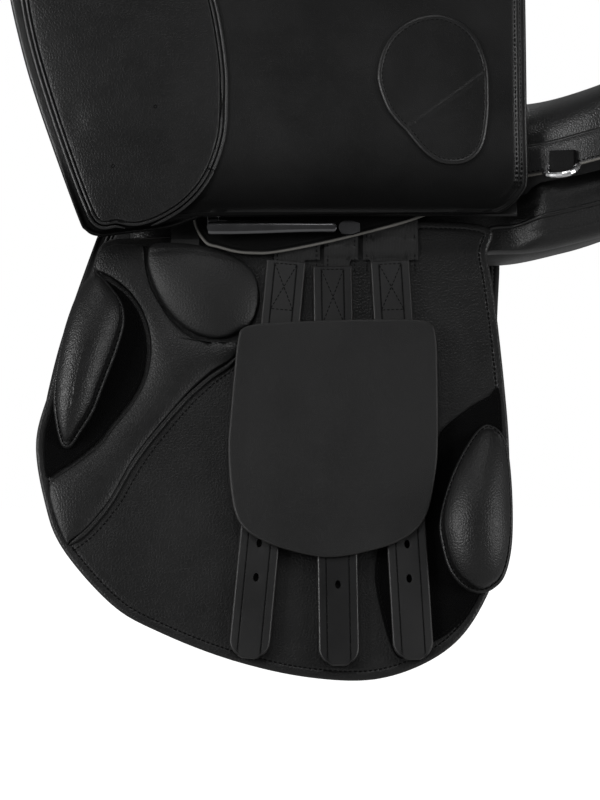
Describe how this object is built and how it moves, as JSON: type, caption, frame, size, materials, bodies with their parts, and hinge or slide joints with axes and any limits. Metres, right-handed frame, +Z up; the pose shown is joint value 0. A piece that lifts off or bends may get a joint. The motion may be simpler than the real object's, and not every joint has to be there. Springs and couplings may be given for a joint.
{
  "type": "all-purpose saddle",
  "caption": "Black leather all-purpose riding saddle: its near flap is raised to show the buckle guard, girth straps, sweat flap and hook-and-loop blocks.",
  "frame": {"origin": "on the saddle's middle plane, level with the top of the girth straps and under the front of the seat", "axes": "+X towards the cantle, +Z up, the near (left) side towards -Y"},
  "size_m": [0.5616, 0.4738, 0.6677],
  "materials": {
    "leather_seat": "grained, with a soft sheen",
    "leather_grained": "grained, satin",
    "leather_smooth": "smooth, satin, stitched",
    "leather_raw_edge": "smooth, with a pale raw edge",
    "hook_and_loop": "matte pile",
    "webbing": "woven, matte",
    "tree": "matte",
    "painted_steel": "black paint, satin",
    "steel": "brushed",
    "chrome": "polished"
  },
  "bodies": {
    "saddle": {"seat_cushion": "leather_seat", "cantle_facing": "leather_seat", "pommel_facing": "leather_seat", "seat_band": "leather_seat", "seat_webbing": "webbing", "tree_body": "tree", "tree_front_arch": "painted_steel", "panel_near": "leather_grained", "panel_off": "leather_grained", "sweat_flap_near": "leather_grained", "sweat_flap_off": "leather_grained", "knee_pad_near": "leather_grained", "knee_pad_off": "leather_grained", "point_pocket_near": "leather_grained", "point_pocket_off": "leather_grained", "dee_chape_near": "leather_grained", "dee_chape_off": "leather_grained", "flap_head_near": "leather_smooth", "flap_head_off": "leather_smooth", "bar_shield_near": "leather_raw_edge", "bar_shield_off": "leather_raw_edge", "front_patch_near": "hook_and_loop", "front_patch_off": "hook_and_loop", "rear_patch_near": "hook_and_loop", "rear_patch_off": "hook_and_loop", "girth_web_front_near": "webbing", "girth_web_front_off": "webbing", "girth_web_middle_near": "webbing", "girth_web_middle_off": "webbing", "girth_web_rear_near": "webbing", "girth_web_rear_off": "webbing", "stirrup_bar_near": "steel", "stirrup_bar_off": "steel", "band_stud_near": "chrome", "band_stud_off": "chrome", "pommel_nail_near": "chrome", "pommel_nail_off": "chrome"},
    "flap_near": {"flap_near": "leather_smooth", "flap_pad_near": "leather_grained"},
    "skirt_near": {"skirt_near": "leather_smooth"},
    "straps_near": {"girth_strap_front_near": "leather_smooth", "girth_strap_middle_near": "leather_smooth", "girth_strap_rear_near": "leather_smooth"},
    "guard_near": {"buckle_guard_near": "leather_smooth"},
    "knee_block_near": {"knee_block_near": "leather_grained"},
    "thigh_block_near": {"thigh_block_near": "leather_grained"},
    "catch_near": {"bar_catch_near": "steel"},
    "dee_near": {"dee_ring_near": "chrome"},
    "flap_off": {"flap_off": "leather_smooth", "flap_pad_off": "leather_grained"},
    "skirt_off": {"skirt_off": "leather_smooth"},
    "straps_off": {"girth_strap_front_off": "leather_smooth", "girth_strap_middle_off": "leather_smooth", "girth_strap_rear_off": "leather_smooth"},
    "guard_off": {"buckle_guard_off": "leather_smooth"},
    "knee_block_off": {"knee_block_off": "leather_grained"},
    "thigh_block_off": {"thigh_block_off": "leather_grained"},
    "catch_off": {"bar_catch_off": "steel"},
    "dee_off": {"dee_ring_off": "chrome"}
  },
  "joints": [
    {"name": "flap_near_lift", "type": "hinge", "parent": "saddle", "child": "flap_near", "pos_m": [0, -0.117, 0.035], "axis": [-1, 0, 0], "range_deg": [-161, 0]},
    {"name": "skirt_near_lift", "type": "hinge", "parent": "saddle", "child": "skirt_near", "pos_m": [0, -0.0985, 0.088], "axis": [-1, 0, 0], "range_deg": [-161, 0]},
    {"name": "straps_near_lift", "type": "hinge", "parent": "saddle", "child": "straps_near", "pos_m": [0, -0.10799, 0.00088], "axis": [-1, 0, 0], "range_deg": [0, 60]},
    {"name": "guard_near_slide", "type": "slide", "parent": "straps_near", "child": "guard_near", "axis": [0, -0.2924, -0.9563], "range_m": [-0.003, 0.01]},
    {"name": "knee_block_near_pull", "type": "slide", "parent": "saddle", "child": "knee_block_near", "axis": [0, -0.9563, 0.2924], "range_m": [0, 0.03]},
    {"name": "thigh_block_near_pull", "type": "slide", "parent": "saddle", "child": "thigh_block_near", "axis": [0, -0.9563, 0.2924], "range_m": [0, 0.03]},
    {"name": "catch_near_turn", "type": "hinge", "parent": "saddle", "child": "catch_near", "pos_m": [-0.0365, -0.11318, 0.02494], "axis": [0, -0.9563, 0.2924], "range_deg": [0, 80]},
    {"name": "dee_near_swing", "type": "hinge", "parent": "saddle", "child": "dee_near", "pos_m": [0.11668, -0.11158, 0.06793], "axis": [-0.8964, 0.4433, 0], "range_deg": [-62, 38]},
    {"name": "flap_off_lift", "type": "hinge", "parent": "saddle", "child": "flap_off", "pos_m": [0, 0.117, 0.035], "axis": [-1, 0, 0], "range_deg": [-153, 0]},
    {"name": "skirt_off_lift", "type": "hinge", "parent": "saddle", "child": "skirt_off", "pos_m": [0, 0.0985, 0.088], "axis": [-1, 0, 0], "range_deg": [-153, 0]},
    {"name": "straps_off_lift", "type": "hinge", "parent": "saddle", "child": "straps_off", "pos_m": [0, 0.10799, 0.00088], "axis": [1, 0, 0], "range_deg": [0, 6]},
    {"name": "guard_off_slide", "type": "slide", "parent": "straps_off", "child": "guard_off", "axis": [0, 0.2924, -0.9563], "range_m": [-0.003, 0.01]},
    {"name": "knee_block_off_pull", "type": "slide", "parent": "saddle", "child": "knee_block_off", "axis": [0, 0.9563, 0.2924], "range_m": [0, 0.003]},
    {"name": "thigh_block_off_pull", "type": "slide", "parent": "saddle", "child": "thigh_block_off", "axis": [0, 0.9563, 0.2924], "range_m": [0, 0.01]},
    {"name": "catch_off_turn", "type": "hinge", "parent": "saddle", "child": "catch_off", "pos_m": [-0.0365, 0.11318, 0.02494], "axis": [0, -0.9563, -0.2924], "range_deg": [0, 80]},
    {"name": "dee_off_swing", "type": "hinge", "parent": "saddle", "child": "dee_off", "pos_m": [0.11668, 0.11158, 0.06793], "axis": [0.8964, 0.4433, 0], "range_deg": [-62, 38]}
  ],
  "couplings": [
    {"joint": "skirt_near_lift", "follows": "flap_near_lift", "ratio": 1},
    {"joint": "skirt_off_lift", "follows": "flap_off_lift", "ratio": 1}
  ]
}
